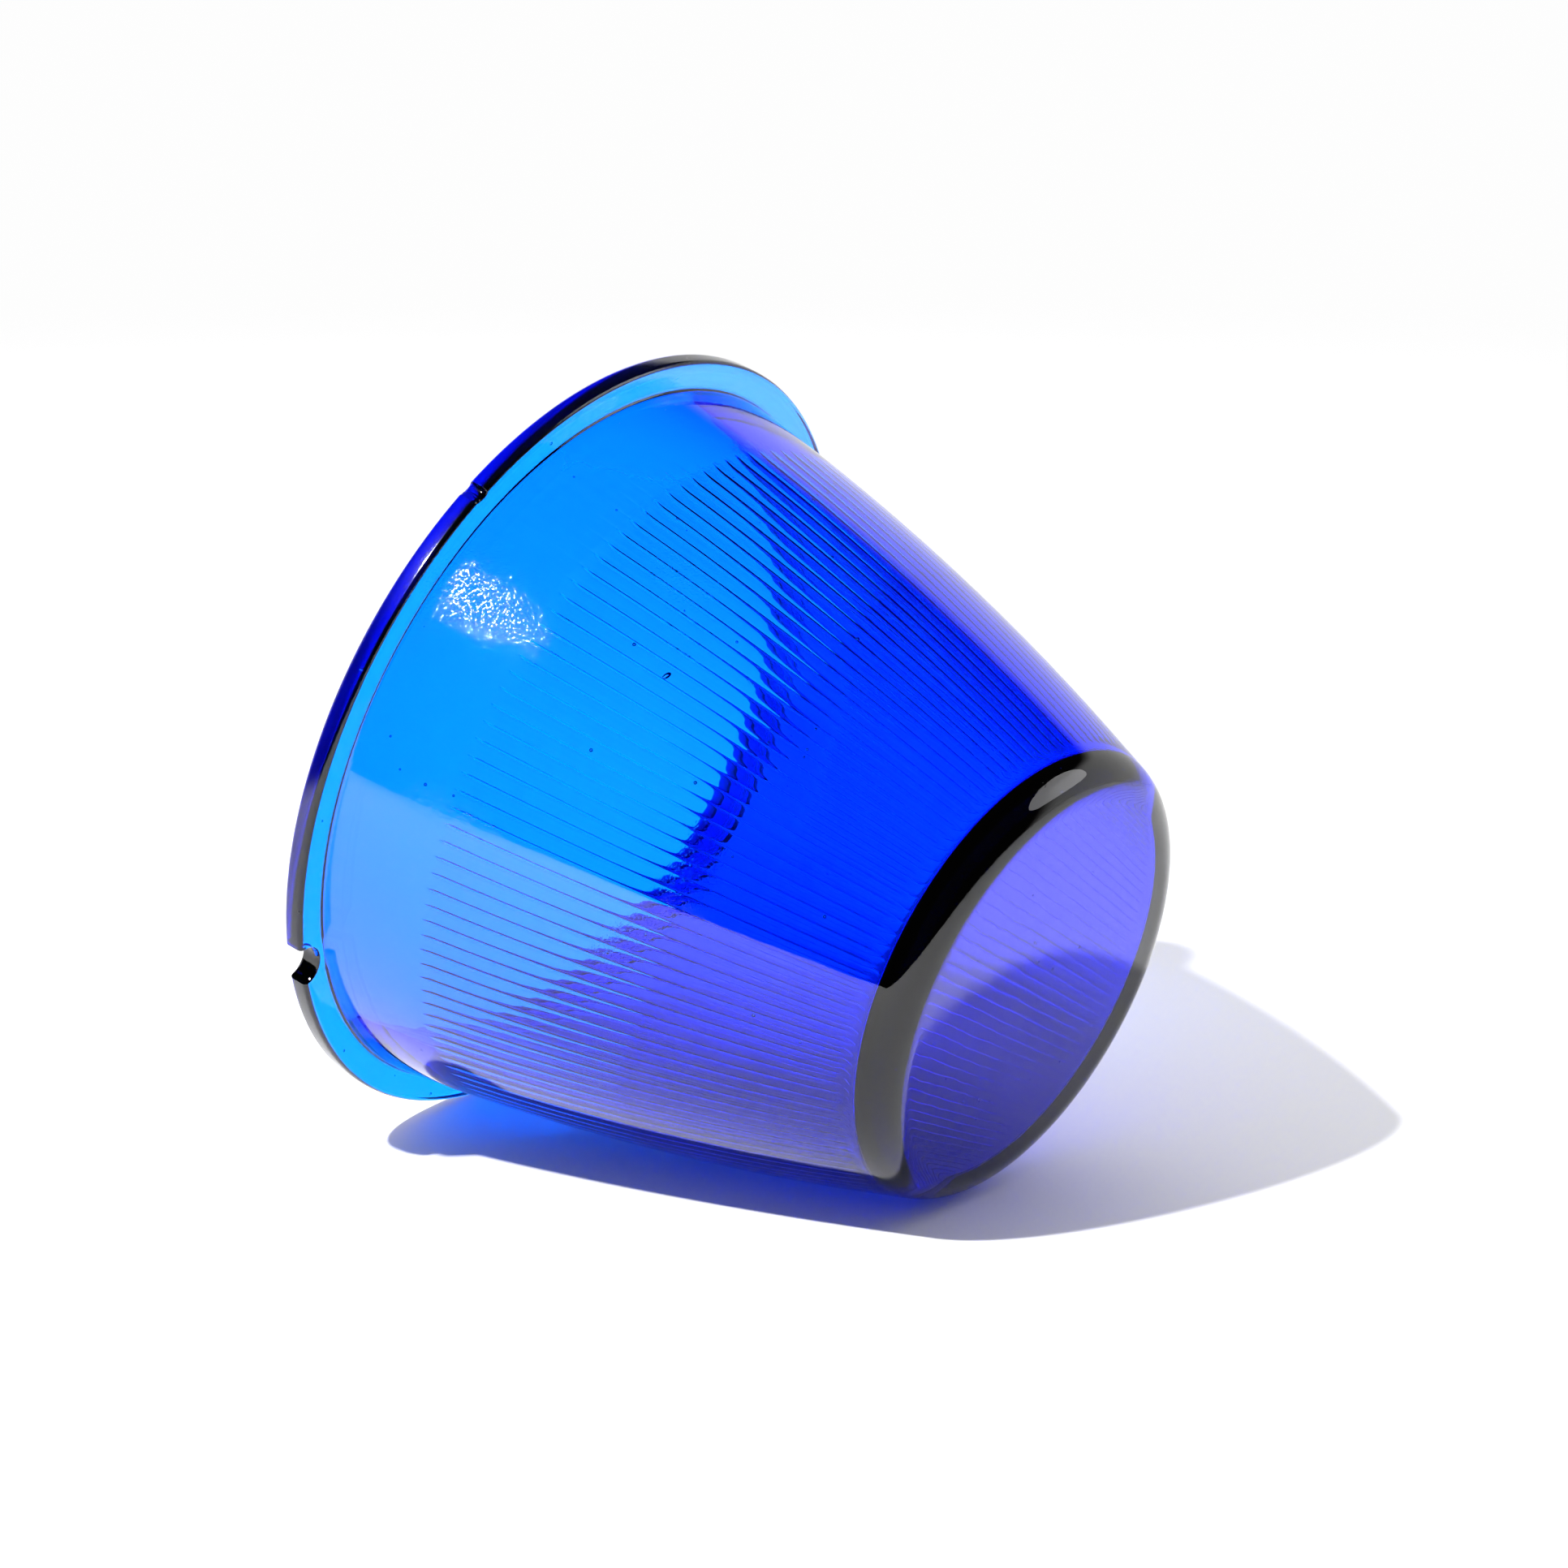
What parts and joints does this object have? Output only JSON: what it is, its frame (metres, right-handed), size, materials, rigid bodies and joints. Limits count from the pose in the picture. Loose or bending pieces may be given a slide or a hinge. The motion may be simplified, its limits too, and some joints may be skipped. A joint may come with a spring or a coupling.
{
  "type": "airfield edge light lens",
  "caption": "Bulging tapered cup of deep blue pressed glass with a flat closed crown, a mounting flange with a locating notch and fine flutes inside, to colour an airfield edge light.",
  "frame": {"origin": "centre of the mouth, in the plane of the flange's mouth face", "axes": "+Z along the lens axis from the mouth to the crown; the locating notch lies between +X and +Y"},
  "size_m": [0.14, 0.14, 0.1037],
  "materials": {
    "blue_glass": "fire-polished gloss, lightly scuffed"
  },
  "bodies": {
    "root": {"lens": "blue_glass"}
  },
  "joints": []
}
